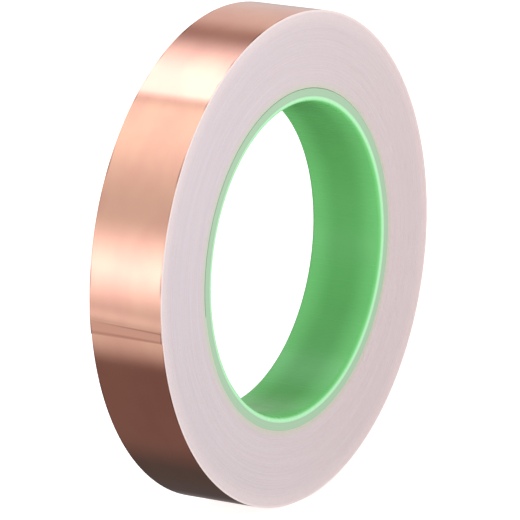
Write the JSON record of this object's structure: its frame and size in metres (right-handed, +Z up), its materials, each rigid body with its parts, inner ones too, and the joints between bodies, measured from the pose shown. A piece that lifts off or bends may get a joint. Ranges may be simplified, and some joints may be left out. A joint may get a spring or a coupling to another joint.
{
  "type": "copper foil tape roll",
  "caption": "Upright roll of narrow copper foil tape on a plastic core. The tape's loose end lifts off the roll, and its foil peels away from the paper liner.",
  "frame": {"origin": "centre of the core's bore, halfway across the tape's width", "axes": "+Y along the roll's axis, square to its flat sides; +Z up with the roll standing on edge; +X across. The tape's cut end is on the -X side, just under the height of the axis"},
  "size_m": [0.1205, 0.02, 0.1204],
  "materials": {
    "core_plastic": "moulded green plastic, glossy bore, sawn ends",
    "starter_tape": "double-sided tape",
    "wound_tape": "slit tape edges, fine rings",
    "copper_foil": "bright rolled copper",
    "adhesive": "tacky acrylic adhesive",
    "release_liner": "smooth coated paper"
  },
  "bodies": {
    "roll": {"core_tube": "core_plastic", "starter_tape": "starter_tape", "inner_turns": "wound_tape", "outer_turns_foil": "copper_foil", "outer_turns_adhesive": "adhesive", "outer_turns_liner": "release_liner"},
    "tail_1": {"tail_1_foil": "copper_foil", "tail_1_adhesive": "adhesive", "tail_1_liner": "release_liner"},
    "tail_2": {"tail_2_foil": "copper_foil", "tail_2_adhesive": "adhesive", "tail_2_liner": "release_liner"},
    "tail_3": {"tail_3_foil": "copper_foil", "tail_3_adhesive": "adhesive", "tail_3_liner": "release_liner"},
    "tail_4": {"tail_4_foil": "copper_foil", "tail_4_adhesive": "adhesive", "tail_4_liner": "release_liner"},
    "tail_5": {"tail_5_foil": "copper_foil", "tail_5_adhesive": "adhesive", "tail_5_liner": "release_liner"},
    "liner_tab": {"end_tab_liner": "release_liner"},
    "foil_tab": {"end_tab_foil": "copper_foil", "end_tab_adhesive": "adhesive"}
  },
  "joints": [
    {"name": "tail_lift", "type": "hinge", "parent": "roll", "child": "tail_1", "pos_m": [-0.0523, 0, 0.03004], "axis": [0, 1, 0], "range_deg": [0, 15]},
    {"name": "tail_bend_2", "type": "hinge", "parent": "tail_1", "child": "tail_2", "pos_m": [-0.05557, 0, 0.02345], "axis": [0, 1, 0], "range_deg": [0, 15]},
    {"name": "tail_bend_3", "type": "hinge", "parent": "tail_2", "child": "tail_3", "pos_m": [-0.05801, 0, 0.0165], "axis": [0, 1, 0], "range_deg": [0, 15]},
    {"name": "tail_bend_4", "type": "hinge", "parent": "tail_3", "child": "tail_4", "pos_m": [-0.05959, 0, 0.00932], "axis": [0, 1, 0], "range_deg": [0, 15]},
    {"name": "tail_bend_5", "type": "hinge", "parent": "tail_4", "child": "tail_5", "pos_m": [-0.06029, 0, 0.00199], "axis": [0, 1, 0], "range_deg": [0, 15]},
    {"name": "tab_lift", "type": "hinge", "parent": "tail_5", "child": "liner_tab", "pos_m": [-0.06021, 0, -0.00538], "axis": [-0.0042, 0.9989, 0.0469], "range_deg": [0, 60]},
    {"name": "foil_peel", "type": "hinge", "parent": "liner_tab", "child": "foil_tab", "pos_m": [-0.06021, 0, -0.00538], "axis": [-0.0042, 0.9989, 0.0469], "range_deg": [0, 100]}
  ],
  "couplings": [
    {"joint": "tail_bend_2", "follows": "tail_lift", "ratio": 1},
    {"joint": "tail_bend_3", "follows": "tail_lift", "ratio": 1},
    {"joint": "tail_bend_4", "follows": "tail_lift", "ratio": 1},
    {"joint": "tail_bend_5", "follows": "tail_lift", "ratio": 1}
  ]
}
